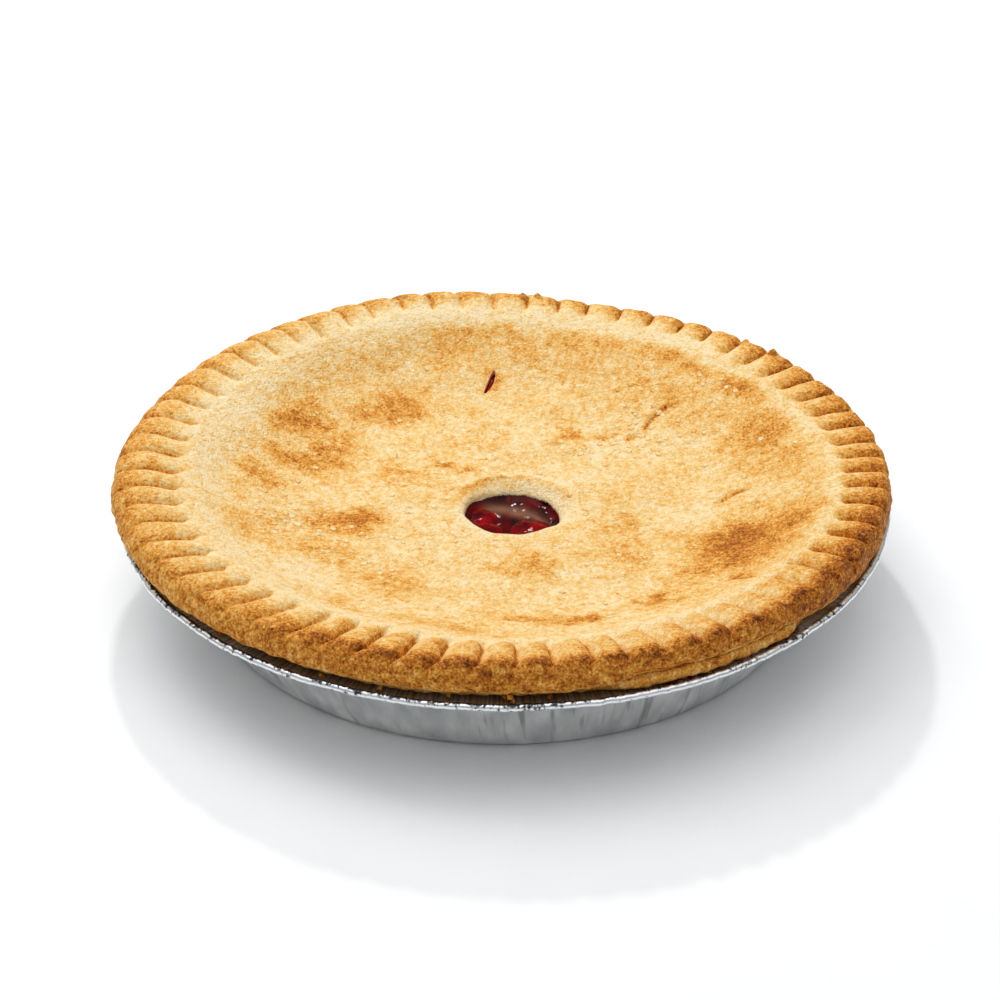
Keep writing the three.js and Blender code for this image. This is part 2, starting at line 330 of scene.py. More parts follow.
def mottle(tree, place, scale, detail=2.0, roughness=0.5):
    """Noise with about this many lumps to a metre."""
    inputs = {"Vector": place, "Scale": scale, "Detail": detail, "Roughness": roughness}
    return node(tree, "ShaderNodeTexNoise", inputs).outputs["Fac"]


def ramp_colour(tree, value, *stops):
    return node(tree, "ShaderNodeValToRGB", {"Fac": value}, stops=stops).outputs["Color"]


def relief(tree, height, strength, distance):
    inputs = {"Height": height, "Strength": strength, "Distance": distance}
    return node(tree, "ShaderNodeBump", inputs).outputs["Normal"]


def stored(tree, name):
    """A number that the piece holds for each vertex."""
    return node(tree, "ShaderNodeAttribute", attribute_name=name).outputs["Fac"]


def new_material(name):
    """An empty material, its tree, and places in the piece's own frame."""
    material = bpy.data.materials.new(name)
    material.use_nodes = True
    tree = material.node_tree
    tree.nodes.clear()
    return material, tree, node(tree, "ShaderNodeTexCoord").outputs["Object"]


def surfaced(material, inputs):
    """Ends a material in one shader with these inputs."""
    shader = node(material.node_tree, "ShaderNodeBsdfPrincipled", inputs)
    node(material.node_tree, "ShaderNodeOutputMaterial", {"Surface": shader.outputs[0]})
    return material


# Crust colours from raw dough to scorched, in five steps of baking.
CREAM, PALE_GOLD, GOLD, BROWN, DARK = "#fae3b4", "#f3c879", "#e8a03c", "#bd6c18", "#5c2602"


def shortcrust():
    """Baked shortcrust: dull and short-crumbed, cream where it stayed cool, brown where it stood up to heat.
    The baking comes from the piece, and on the lid it also holds painted shade. Specks, blotches and pores a
    millimetre across break it up."""
    material, tree, place = new_material("baked_shortcrust")
    bake_and_shade = stored(tree, "bake_and_shade")
    blotch = mottle(tree, place, 190.0, 3.0, 0.6)
    crumb = mottle(tree, place, 480.0, 4.0, 0.65)
    grain = mottle(tree, place, 1300.0, 3.0, 0.7)
    pores = node(tree, "ShaderNodeTexVoronoi", {"Vector": place, "Scale": 800.0, "Randomness": 1.0})
    # Flecks a millimetre or two across: orange where fat blistered the skin, cream where flour stayed on it.
    flecks = mottle(tree, place, 640.0, 2.0, 0.6)
    orange = ranged(tree, flecks, 0.56, 0.66, 0.0, 0.09)
    cream = ranged(tree, flecks, 0.34, 0.44, -0.09, 0.0)
    # The finest grain shows most where the crust has browned.
    grainy = ranged(tree, bake_and_shade, 0.2, 0.5, 1.0, 1.3)
    total = bake_and_shade
    for source, amount in ((blotch, 0.34), (crumb, 0.80), (grain, grainy)):
        centred = maths(tree, "SUBTRACT", source, 0.5)
        total = maths(tree, "ADD", total, maths(tree, "MULTIPLY", centred, amount))
    for fleck in (orange, cream):
        total = maths(tree, "ADD", total, fleck)
    colour = ramp_colour(
        tree, total, (0.0, CREAM), (0.24, PALE_GOLD), (0.46, GOLD), (0.70, BROWN), (1.0, DARK))
    # A pore's dark floor shows only in the browned crust.
    pore = ranged(tree, pores.outputs["Distance"], 0.12, 0.36, 1.0, 0.0)
    browned = ranged(tree, bake_and_shade, 0.30, 0.7, 0.0, 0.60)
    colour = laid_over(tree, maths(tree, "MULTIPLY", pore, browned), colour, DARK)
    height = maths(tree, "ADD", crumb, maths(tree, "MULTIPLY", grain, 0.55))
    height = maths(tree, "ADD", height, maths(tree, "MULTIPLY", pore, -0.25))
    return surfaced(material, {
        "Base Color": colour, "Roughness": 0.66, "IOR": 1.45, "Specular IOR Level": 0.2,
        "Normal": relief(tree, height, 0.9, 0.85 * MM),
    })


def soaked_crumb():
    """Pastry crumb inside a knife slit: soft, and soaked dark red with cherry juice."""
    material, tree, place = new_material("soaked_crumb")
    colour = ramp_colour(tree, mottle(tree, place, 600.0, 3.0), (0.3, "#8a2a16"), (0.7, "#d98a45"))
    return surfaced(material, {"Base Color": colour, "Roughness": 0.45})


def pressed_foil():
    """Thin aluminium foil, pressed and creased: a soft grey mirror, a little brighter and duller in bands."""
    material, tree, place = new_material("pressed_aluminium_foil")
    squeezed = node(tree, "ShaderNodeMapping", {"Vector": place, "Scale": (1.0, 1.0, 0.14)}).outputs[0]
    bands = mottle(tree, squeezed, 150.0, 3.0, 0.5)
    juice = stored(tree, "juice")
    # Thin dark lines run down the wall, a few millimetres apart, and fine dark ribs run out across the
    # flange: painted shade and dark reflections in the folds and ribs.
    around = node(tree, "ShaderNodeTexGradient", {"Vector": place}, gradient_type="RADIAL").outputs["Fac"]
    rise = node(tree, "ShaderNodeSeparateXYZ", {0: place}).outputs["Z"]
    leaning, fading = maths(tree, "MULTIPLY_ADD", rise, 0.16, around), maths(tree, "MULTIPLY", rise, 0.22)
    down = node(tree, "ShaderNodeCombineXYZ", {"X": leaning, "Y": fading}).outputs[0]
    painted_fold_shade = ranged(tree, mottle(tree, down, 170.0, 2.0, 0.55), 0.30, 0.42, 0.5, 0.0)
    ribbing = node(
        tree, "ShaderNodeTexNoise", {"W": around, "Scale": 620.0, "Detail": 1.0}, noise_dimensions="1D")
    painted_rib_shade = ranged(tree, ribbing.outputs["Fac"], 0.40, 0.56, 0.5, 0.0)
    on_flange = ranged(tree, juice, 0.0, 0.1, 0.0, 1.0)
    # The rolled bead is crinkled about every millimetre: its brightness is a painted highlight, and the black
    # of its folds is painted dark reflection.
    bead_sheen_and_crinkle = stored(tree, "bead_sheen_and_crinkle")
    # Black ticks on the bead: painted dark reflections.
    shut = maths(tree, "ADD", mottle(tree, place, 900.0, 2.0, 0.5), bead_sheen_and_crinkle)
    colour = ramp_colour(tree, bands, (0.32, "#d2d4d5"), (0.68, "#f6f6f5"))
    for share, over in (
        (painted_fold_shade, "#4e4f50"), (ranged(tree, bead_sheen_and_crinkle, 0.1, 0.3, 0.0, 1.0), "#eef0f1"),
        (ranged(tree, shut, 0.96, 1.10, 0.0, 0.95), "#1c1b1a"), (juice, "#a98a5e"),
        (maths(tree, "MULTIPLY", painted_rib_shade, on_flange), "#2c2014"),
    ):
        colour = laid_over(tree, share, colour, over)
    return surfaced(material, {
        # Baked-on juice hides the metal; its brown is also a painted reflection of the crust above, and
        # painted shade under the crust's lip.
        "Base Color": colour, "Metallic": ranged(tree, juice, 0.0, 0.12, 1.0, 0.35),
        "Roughness": ranged(tree, bands, 0.3, 0.7, 0.32, 0.48), "Normal": relief(tree, bands, 0.25, 0.3 * MM),
    })


def cherry_gel():
    """Set cherry syrup: a clear dark red gel under a wet skin, browner in a few patches."""
    material, tree, place = new_material("set_cherry_syrup")
    cloud = mottle(tree, place, 240.0, 3.0)
    colour = ramp_colour(tree, cloud, (0.35, "#240002"), (0.65, "#5c0204"))
    return surfaced(material, {
        "Base Color": laid_over(tree, stored(tree, "browner_gel"), colour, "#7c5540"),
        "Roughness": 0.05, "Specular IOR Level": 0.05, "Normal": relief(tree, cloud, 0.5, 1.0 * MM),
    })


def cherry_flesh():
    """Stewed sour cherry: bright wet red where the skin is thin, and near black in its folds."""
    material, tree, place = new_material("stewed_cherry")
    fold = mottle(tree, place, 220.0, 2.0)
    return surfaced(material, {
        "Base Color": ramp_colour(tree, fold, (0.3, "#3a0103"), (0.55, "#740104"), (0.75, "#a40307")),
        "Roughness": 0.07, "Specular IOR Level": 0.05, "Normal": relief(tree, fold, 0.6, 1.0 * MM),
    })


def burnt_syrup():
    """Syrup that boiled over and burnt on: brittle, dark brown, half glossy."""
    material, tree, place = new_material("burnt_syrup")
    colour = ramp_colour(tree, mottle(tree, place, 500.0, 3.0), (0.35, "#2a0f06"), (0.7, "#7a3a12"))
    return surfaced(material, {"Base Color": colour, "Roughness": 0.3})


def studio_paper():
    """White paper sweep: matt, barely off white."""
    material, tree, place = new_material("white_paper")
    colour = ramp_colour(tree, mottle(tree, place, 40.0), (0.3, "#f7f7f6"), (0.7, "#f9f9f8"))
    return surfaced(material, {"Base Color": colour, "Roughness": 0.9})


# ---------------------------------------------------------------- crimps

def crimp_coordinates(azimuth, seeded):
    """A vertex's crimp, its share of the way across, and its azimuth. Steps are packed by the creases."""
    turns = ((azimuth - CRIMP_START) % TURN) / TURN * CRIMPS
    turns = np.round(turns * STEPS_PER_CRIMP) / STEPS_PER_CRIMP
    crimp = np.floor(turns + 1e-6).astype(int)
    even = turns - crimp
    share = np.clip(even - CREASE_PACKING * np.sin(TURN * even), 0, 1)
    crimp %= CRIMPS
    edges = np.arange(CRIMPS + 1) + np.append(seeded, seeded[0])
    placed = edges[crimp] + share * (edges[crimp + 1] - edges[crimp])
    return crimp, share, CRIMP_START + placed / CRIMPS * TURN


def crease_across(share, lean, radius):
    """How deep a crimp is pressed: 1 in its creases, 0 on its pillow. Lean 1 is steep on the far side.
    The gentle side is widest at the crimp's inner end."""
    inward = 1 - step(radius, *GENTLE_SIDE)

    def one_way(part):
        rise = np.clip(1 - part / (0.34 + 0.36 * inward), 0, 1) ** 2
        drop = np.clip((part - PILLOW_TOP) / (1 - PILLOW_TOP), 0, 1) ** 4
        return np.maximum(rise, drop)

    return lean * one_way(share) + (1 - lean) * one_way(1 - share)


def steep_side(share, lean):
    """Grows from 0 at a pillow's gentle side to 1 at its steep side."""
    return lean * share**2 + (1 - lean) * (1 - share) ** 2


def crimp_style(degrees):
    """At each azimuth: which side is steep, the slant of the creases, how much of a crease reaches the crest,
    and how far the place counts as the front and as the right."""
    right = arc_weight(degrees, -35, 92, 30)
    front = arc_weight(degrees, 238, 330, 24)
    lean = 1 - right
    slant = np.tan(CREASE_SLANT) * (1 - step(turned_away(degrees, 0), 20, 62))
    knobby = arc_weight(degrees, 288, 352, 24)
    reach = 0.52 + 0.20 * np.maximum(right, front) + 0.30 * knobby
    return lean, slant, reach, front, right


def lid_place(radius, azimuth):
    """Plan places of the lid. Its crest is round about one centre, and the bulge of its edge slumps to
    another."""
    slump = np.clip((radius - CREST_RADIUS) / (BULGE_RADIUS - CREST_RADIUS), 0, 1)[:, None]
    round_way = headings(azimuth)
    even = LID_CENTRE + radius[:, None] * round_way
    slumped = BULGE_CENTRE + (radius[:, None] + BULGE_WIDENING) * round_way
    return even * (1 - slump) + slumped * slump


def rim_sag(degrees, height):
    """How far the rim has sagged: all of it at the crest, and none at the foot of the flank."""
    share = np.clip((height - SAG_START_HEIGHT) / (CREST_HEIGHT - SAG_START_HEIGHT), 0, 1)
    drops = (drop * arc_weight(degrees, start, end, 2 * soft) for start, end, soft, drop in RIM_SAGS)
    return share * sum(drops)


def patch_strength(places, patches):
    """The sum of soft-edged ovals, with ragged edges."""
    ragged = np.column_stack((lumps(places, 7, 3, 3), lumps(places, 7, 4, 3))) * 3.2
    spots = places[:, :2] + ragged
    total = np.zeros(len(places))
    for x, y, long, short, degrees, strength in patches:
        ahead, aside = ahead_and_aside(spots[:, 0] - x, spots[:, 1] - y, degrees)
        off = (ahead / long) ** 2 + (aside / short) ** 2
        total = np.maximum(total, strength * np.exp(-off ** 1.2 * 0.7))
    return total


# ---------------------------------------------------------------- pieces

def lid_crust(pastry, soaked):
    """The top pastry: dished, crimped, browned, and cut by the vent and the open slit."""
    piece, _, along, azimuth, radius, height = spun_piece(
        "lid_pastry", pastry, LID_OUTLINE, LID_CUTS, CRIMPS, STEPS_PER_CRIMP)
    mesh = piece.data
    rng = random.Random(7)
    seeded = np.array([rng.uniform(-CREASE_JITTER, CREASE_JITTER) for _ in range(CRIMPS)])
    depths = np.array([rng.uniform(*CREASE_DEPTHS) for _ in range(CRIMPS)])
    crimp, share, azimuth = crimp_coordinates(azimuth, seeded)
    on_top = (along <= BULGE_STOP + 1) * 1.0
    degrees = np.degrees(azimuth) % 360
    lean, slant, reach, front, right = crimp_style(degrees)
    azimuth = azimuth - slant * step(radius, 88, 93) * (np.minimum(radius, 106) - 99) / 99 * on_top
    degrees = np.degrees(azimuth) % 360

    # The vent: a ragged round hole, with a lip that sinks softly on the far side.
    ring = np.column_stack((np.cos(azimuth), np.sin(azimuth), np.zeros(len(azimuth)))) * VENT_RADIUS
    vent_fade = 1 - step(radius, 14, VENT_REACH)
    scallop = lumps(ring, 5.5, 11) * (0.35 + 0.35 * arc_weight(degrees, 195, 350, 40))
    radius = radius + vent_fade * (scallop + 0.2 * np.cos(2 * azimuth + 0.6))
    far_lip = arc_weight(degrees, -20, 130, 70)
    radius = radius + 1.7 * far_lip * step(along, 0.4, 3.2) * (1 - step(radius, 17, VENT_REACH))
    height = height - 0.7 * far_lip * np.exp(-((along - 2.4) / 1.3) ** 2) * on_top
    height = height + 0.45 * far_lip * np.exp(-((radius - 18.6) / 1.3) ** 2) * on_top

    # Crimps, pressed down on top, in at the crest, and fading out down the flank.
    across = crease_across(share, lean, radius)
    left = arc_weight(degrees, 105, 222, 30)
    far = arc_weight(degrees, 46, 118, 24)
    soft = np.maximum(0.10 * far, 0.38 * arc_weight(degrees, 104, 168, 24))
    pressed = across * depths[crimp] * (1 - soft)
    inner = step(
        radius + 4.0 * front - 3.0 * left - 4.0 * far - 2.5 * right * (2 * share - 1) ** 2, *CRIMP_INNER)
    crest_fade = 1 - (1 - reach) * step(along, 16.0, 18.2)
    flank_fade = 1 - step(along, 17.6 + 2.5 * (reach - 0.52), 20.2 + 3.0 * (reach - 0.52))
    depth = CREASE_DEPTH * pressed * inner * crest_fade * flank_fade * on_top
    tilt = step(along, 15.8, 19.5) * math.pi / 2
    height = height - depth * np.cos(tilt)
    radius = radius - 0.55 * depth * np.sin(tilt)
    pillow = 1 - across
    height = height + 0.5 * pillow * inner * (1 - step(along, 15, 17)) * right * on_top
    swell = step(along, 16, 17.3)
    radius = radius + 0.95 * pillow * swell * (1 - step(along, 18.2, 20.5)) * reach / 0.6 * on_top

    height = height - rim_sag(degrees, height)
    plan = lid_place(radius, azimuth)
    places = np.column_stack((plan, height))

    # The dish is uneven, the flank is lumpy, and the lower edge is torn.
    dish = (1 - step(radius, 86, 94)) * on_top * step(along, 3, 5)
    flank = step(along, 17, 18.5) * (1 - step(along, 22.5, 24))
    uneven = 0.55 * lumps(places, 26, 1) + 0.3 * lumps(places, 10, 2) + 0.16 * lumps(places, 3.6, 5, 2)
    places[:, 2] += dish * uneven
    out = headings(azimuth)
    rough = 0.45 * lumps(places, 9, 6) + 0.28 * lumps(places, 3.2, 7, 2)
    places[:, :2] += out * (flank * rough)[:, None]
    crown = step(along, 13, 15) * (1 - step(along, 18, 19)) * on_top
    places[:, 2] += crown * (0.18 * lumps(places, 7, 8) + 0.10 * lumps(places, 2.6, 9))
    lift, slit_shadow = shut_slits(places)
    places[:, 2] += lift * dish
    edge = step(along, 21, 22.5) * (1 - step(along, 23.5, 25))
    places[:, 2] += edge * 0.45 * lumps(places, 3.4, 10, 2)
    # Along the seam the lid stops short, and the layer below shows.
    seam = arc_weight(degrees, 286, 318, 10) * step(along, 20, 22) * (1 - step(along, 24, 26))
    places[:, 2] += seam * 1.7
    places[:, :2] -= out * (seam * 0.5)[:, None]
    scorched = np.zeros(len(places))
    for x, y, z, size, dark, deep in SCORCHED_SPOTS:
        apart = np.linalg.norm(places - (x, y, z) + 0.5 * lumps(places, 2, 12)[:, None], axis=1)
        near = np.exp(-((apart / size) ** 2))
        scorched += dark * near
        places[:, :2] -= out * (deep * near)[:, None]
    put_places(mesh, places)

    # Baking, and painted shade: dark lines in the creases, the pillows' darker steep sides, shadow along the
    # shut slits, and the vent lip's darker slope.
    level = np.sqrt(((places[:, :2] - LID_CENTRE) ** 2).sum(1))
    bake_and_shade = 0.19 + 0.05 * lumps(places, 30, 20) + 0.07 * lumps(places, 11, 21, 2)
    bake_and_shade += 0.07 * step(places[:, 1], 40, 90) + 0.05 * step(places[:, 0], 30, 70)
    bake_and_shade += patch_strength(places, PATCHES) - patch_strength(places, PALE_PATCHES)
    bake_and_shade += slit_shadow * dish
    open_slit = np.hypot(places[:, 0] - OPEN_SLIT[0] - 0.5, (places[:, 1] - OPEN_SLIT[1] - 1.0) * 0.6)
    bake_and_shade += 0.30 * np.exp(-((open_slit / 2.6) ** 2)) * dish
    outer = np.maximum(arc_weight(degrees, -40, 50, 30), far)
    shoulder = np.exp(-(((level - 90 - 3.5 * outer) / (5.5 - 2.4 * outer)) ** 2)) * (1 - 0.15 * left)
    bake_and_shade = bake_and_shade * (1 - 0.75 * shoulder) + 0.03 * shoulder
    sunny = arc_weight(degrees, -35, 40, 40)
    warm = 0.16 + 0.26 * arc_weight(degrees, 228, 345, 40) + 0.10 * sunny
    crest_brown = step(level, 97 + 4.5 * front, 106.5) * (0.55 + 0.45 * pillow) * warm
    # Each pillow's steep side is darker: mostly painted shade, partly browning.
    side_shade_and_brown = 0.10 + 0.14 * front + 0.12 * right + 0.14 * sunny + 0.07 * left + 0.16 * far
    shaded_and_browned_side = steep_side(share, lean) * inner * side_shade_and_brown
    # A thin dark line along each crease: painted shade, with some browning.
    from_crease = np.minimum(share, 1 - share) * CRIMP_WIDTH
    crease_shade_line = np.exp(-((from_crease / 0.40) ** 2)) * inner * (1 - step(along, 17.4, 18.8))
    crease_shade_line = crease_shade_line * (1 - 1.2 * soft)
    floor_gold = 0.14 + 0.12 * front + 0.04 * right
    rim = step(level + 2.0 * front, 91, 96) * on_top
    rim_bake_and_shade = floor_gold + crest_brown + shaded_and_browned_side + (0.22 + 0.20 * front + 0.20 * left) * crease_shade_line
    rim_bake_and_shade -= (0.16 - 0.08 * front - 0.11 * right) * np.clip(across, 0, 1) * (1 - crease_shade_line) * inner
    rim_bake_and_shade -= (0.22 * soft + 0.10 * far) * (1 - step(level, 100.5, 103.5))
    bake_and_shade = bake_and_shade * (1 - rim) + rim * rim_bake_and_shade
    lip = np.exp(-((along - 17.9 - 0.5 * pillow) / 0.36) ** 2) * (0.12 + 0.15 * front)
    bake_and_shade = bake_and_shade + lip * on_top
    flank_brown = 0.50 + 0.10 * arc_weight(degrees, 225, 345, 40) + 0.07 * arc_weight(degrees, 285, 345, 30)
    flank_brown = flank_brown + 0.08 * arc_weight(degrees, -40, 70, 40)
    flank_bake = flank_brown + 0.07 * lumps(places, 9, 22) + 0.12 * lumps(places, 2.2, 23, 2)
    bake_and_shade = bake_and_shade * (1 - flank) + flank * flank_bake
    bake_and_shade += scorched
    pale_edge = step(along, 21.6, 22.6)
    bake_and_shade = bake_and_shade * (1 - pale_edge) + pale_edge * 0.34
    vent_wall = 1 - step(along, 2.6, 5.2)
    bake_and_shade = bake_and_shade * (1 - vent_wall) + vent_wall * 0.02
    # The vent's sloping lip is darker towards the left: painted shade.
    shaded_vent_lip = np.exp(-((radius - 16.4) / 1.6) ** 2) * arc_weight(degrees, 95, 175, 40)
    lip_line = np.exp(-((radius - 17.8) / 0.7) ** 2) * arc_weight(degrees, 20, 150, 40)
    bake_and_shade += (0.22 * shaded_vent_lip + 0.30 * lip_line) * on_top
    put_values(mesh, "bake_and_shade", np.clip(bake_and_shade, 0, 1))

    cut_open_slit(piece, soaked)
    return piece


def shut_slits(places):
    """How far the skin is lifted or sunk beside the shut slits, and how much painted shadow lies along each
    step.
    """
    lift, brown = np.zeros(len(places)), np.zeros(len(places))
    for x, y, length, degrees, bend in SHUT_SLITS:
        ahead, aside = ahead_and_aside(places[:, 0] - x, places[:, 1] - y, degrees)
        ahead = ahead / (length / 2)
        aside = aside + bend * (ahead**2 - 0.5)
        inside = 1 - step(np.abs(ahead), 0.75, 1.15)
        lift -= inside * 0.55 * np.exp(-((aside + 0.5) / 2.0) ** 2) * (aside < 0)
        lift -= inside * 0.75 * np.exp(-((aside - 0.6) / 0.9) ** 2)
        # A brown line along each step: painted shadow.
        brown += inside * 0.50 * np.exp(-((aside - 0.5) / 0.65) ** 2)
    return lift, brown


def cut_open_slit(piece, soaked):
    """Cuts a leaf-shaped slit through the lid."""
    x, y, length, width, degrees, bend = OPEN_SLIT
    blade = bmesh.new()
    bmesh.ops.create_circle(blade, cap_ends=True, segments=24, radius=1)
    raised = bmesh.ops.extrude_face_region(blade, geom=blade.faces[:])
    lifted = [part for part in raised["geom"] if isinstance(part, bmesh.types.BMVert)]
    bmesh.ops.translate(blade, vec=(0, 0, SLIT_BLADE_HEIGHT), verts=lifted)
    for vert in blade.verts:
        across = vert.co.x
        vert.co.x = across * length / 2
        vert.co.y = vert.co.y * width / 2 + bend * (across * across - 0.5)
    bmesh.ops.rotate(blade, verts=blade.verts, matrix=Matrix.Rotation(math.radians(degrees), 3, "Z"))
    bmesh.ops.translate(blade, vec=(x, y, SLIT_BLADE_FOOT), verts=blade.verts)
    bmesh.ops.recalc_face_normals(blade, faces=blade.faces)
    cutter = piece_from(blade, "slit_blade", soaked)
    piece.data.materials.append(soaked)
    cut = piece.modifiers.new("slit", "BOOLEAN")
    cut.operation, cut.solver, cut.object, cut.material_mode = "DIFFERENCE", "EXACT", cutter, "TRANSFER"
    apply_modifiers(piece)
    bpy.data.objects.remove(cutter)


def apply_modifiers(piece):
    """Makes the modified mesh the piece's own."""
    bpy.context.view_layer.update()
    shown = piece.evaluated_get(bpy.context.evaluated_depsgraph_get())
    mesh = bpy.data.meshes.new_from_object(shown)
    old = piece.data
    piece.modifiers.clear()
    piece.data = mesh
    bpy.data.meshes.remove(old)


# Base pastry, from the middle of its foot, out and up to the lower lip, and back in over the top.
BASE_OUTLINE = (
    (0, 0.7), (82, 0.7), (84.4, 1.6), (91.1, 15), (98.4, 27.0), (100.4, 28.2),
    (102.6, 28.5), (104.4, 29.0), (105.7, 29.9), (106.0, 30.8), (105.2, 31.3),
    (99, 31.2), (95.4, 28.5), (88.5, 16), (81.8, 4.9), (79.8, 3.7), (0, 3.7),
)
BASE_CUTS = (0, 0, 1, 1, 0, 2, 2, 2, 2, 1, 2, 0, 1, 1, 0, 0)
BASE_WEDGES, BASE_STEPS = 30, 30
# Where the lower lip stands out under the seam, in degrees.
LIP_SEAM = (286, 318)


def bottom_crust(pastry):
    """The base pastry, with a ragged lower lip."""
    piece, raw, along, azimuth, radius, height = spun_piece(
        "bottom_pastry", pastry, BASE_OUTLINE, BASE_CUTS, BASE_WEDGES, BASE_STEPS)
    mesh = piece.data
    pole = np.hypot(raw[:, 0], raw[:, 1]) < AT_POLE
    degrees = np.degrees(azimuth) % 360
    lip = step(along, 5.5, 7.2) * (1 - step(along, 9.5, 11))
    shown = arc_weight(degrees, 212, 264, 16)
    seam = arc_weight(degrees, *LIP_SEAM, 8)
    radius = radius + lip * (0.7 * shown + 2.8 * seam)
    height = height + step(along, 8, 9.5) * (1 - step(along, 10.5, 12)) * 1.6 * seam
    places = np.column_stack((radius * np.cos(azimuth), radius * np.sin(azimuth), height))
    ragged = 0.55 * lumps(places, 4.2, 30, 2) + 0.3 * lumps(places, 1.7, 31)
    out = headings(azimuth)
    places[:, :2] += out * (lip * ragged)[:, None]
    places[:, 2] += lip * 0.22 * lumps(places, 2.6, 32)
    places[pole, :2] = 0
    put_places(mesh, places)
    bake_and_shade = 0.40 + 0.10 * lumps(places, 6, 33, 2) - 0.08 * shown + 0.10 * seam
    put_values(mesh, "bake_and_shade", np.clip(bake_and_shade, 0, 1))
    return piece


# Tin, from the middle of its foot, out and up the wall, over the flange and the bead, and back down inside.
TIN_OUTLINE = (
    (0, 0), (40, 0), (80, 0), (84.6, 0), (85.5, 0.25), (86.0, 0.9), (92.6, 13.4), (99.4, 25.9), (100.0, 26.9),
    (101.2, 27.6), (104, 27.7), (107.4, 27.7), (109.2, 27.7), (110.1, 27.65), (110.8, 27.95), (111.1, 28.65),
    (110.8, 29.35), (110.1, 29.65), (109.4, 29.4), (109.1, 28.8), (108.9, 28.2), (107.2, 28.0), (104, 28.0),
    (101.3, 28.0), (99.6, 27.2), (99.0, 26.0), (92.2, 13.5), (85.6, 1.1), (84.4, 0.4),
    (80, 0.4), (40, 0.4), (0, 0.4),
)
TIN_CUTS = (0, 0, 0, 1, 1, 7, 7, 1, 1, 1, 1, 1, 1, 1, 1, 1, 1, 1, 1, 0, 0, 1, 1, 0, 1, 1, 1, 0, 0, 0, 0)
TIN_WEDGES, TIN_STEPS = 40, 33
# The inner skin starts at this point of the outline, and is pushed in to clear the folds.
INNER_SKIN = 23
INNER_SKIN_SHIFT = -0.9
# Radius halfway up the wall, and the distance between its folds there.
WALL_RADIUS = 93
FOLD_GAP = 3.7
BEAD_RING = 110
FLANGE_RIBS = 330


def tin(foil):
    """The foil tin: folded down its wall, ribbed across its flange, and crinkled round its bead."""
    piece, raw, along, azimuth, radius, height = spun_piece(
        "foil_dish", foil, TIN_OUTLINE, TIN_CUTS, TIN_WEDGES, TIN_STEPS)
    mesh = piece.data
    wall = step(height, 0.6, 6) * (1 - step(height, 23, 27)) * (radius < 100)
    inner_skin = along > INNER_SKIN
    # Folds down the wall, where the flat foil was gathered in: each has its own slant, width and depth.
    rng = random.Random(21)
    count = round(TURN * WALL_RADIUS / FOLD_GAP)
    fold = np.zeros(len(azimuth))
    slide = (height - 13) / 26
    for i in range(count):
        at = (i + rng.uniform(-0.34, 0.34)) / count * TURN
        slant, width, depth = rng.uniform(-2.8, 4.0), rng.uniform(0.6, 1.7), rng.uniform(0.08, 0.55)
        apart = ((azimuth - at + math.pi) % TURN - math.pi) * WALL_RADIUS - slant * slide
        near = np.abs(apart) < 4 * width
        fold[near] -= depth * np.exp(-((apart[near] / width) ** 2))
        ridge = np.abs(apart - 1.3 * width) < 4 * width
        fold[ridge] += 0.5 * depth * np.exp(-(((apart[ridge] - 1.5 * width) / width) ** 2))
    radius += wall * np.where(inner_skin, INNER_SKIN_SHIFT, fold)
    # Fine ribs across the flange, and a wrinkled, dented bead.
    under = step(along, 9, 10) * (1 - step(along, 11.5, 12))
    over = step(along, 21.5, 22) * (1 - step(along, 23.4, 24))
    flange = under + over
    round_way = np.column_stack((np.cos(azimuth), np.sin(azimuth), 0 * azimuth)) * BEAD_RING
    ribs = np.sin(azimuth * FLANGE_RIBS + 2.0 * lumps(round_way, 12, 40))
    height += flange * (0.13 * ribs + 0.12 * lumps(round_way, 2.2, 41))
    bead = step(along, 12, 13) * (1 - step(along, 19, 20.4))
    places = np.column_stack((radius * np.cos(azimuth), radius * np.sin(azimuth), height))
    dent = 0.20 * lumps(round_way, 2.3, 42) + 0.13 * lumps(round_way, 1.0, 43)
    dent = dent + 0.25 * lumps(round_way, 14, 44)
    out = headings(azimuth)
    places[:, :2] += out * (bead * dent * 0.8)[:, None]
    places[:, 2] += bead * (0.35 * lumps(round_way, 16, 45) + 0.14 * lumps(round_way, 1.5, 46))
    places[:, :2] += out * (wall * (0.28 * lumps(round_way, 22, 47)))[:, None]
    pole = np.hypot(raw[:, 0], raw[:, 1]) < AT_POLE
    places[pole, :2] = 0
    put_places(mesh, places)
    degrees = np.degrees(azimuth) % 360
    # Juice baked on the flange and the bead's inside, strongest in front; there its brown also stands for a
    # painted reflection of the crust and painted shade under the lip.
    juice_and_reflection_amount = 0.14 + 0.74 * arc_weight(degrees, 228, 305, 30)
    starts = 20 - 2.0 * arc_weight(degrees, 225, 320, 30)
    juice_and_reflection = step(along, starts, starts + 1.2) * (juice_and_reflection_amount + 0.2 * lumps(round_way, 6, 48))
    put_values(mesh, "juice", np.clip(juice_and_reflection, 0, 0.95))
    # Where the bead shows its painted highlight, with painted dark reflections strongest along its upper edge
    # and fewer on the right.
    top_edge = np.exp(-((along - 17.6) / 1.2) ** 2)
    fewer_dark_ticks = 0.24 * arc_weight(degrees, 292, 400, 30)
    put_values(mesh, "bead_sheen_and_crinkle", bead * (0.37 + (0.34 - fewer_dark_ticks) * top_edge + 0.10 * lumps(round_way, 9, 49)))
    return piece


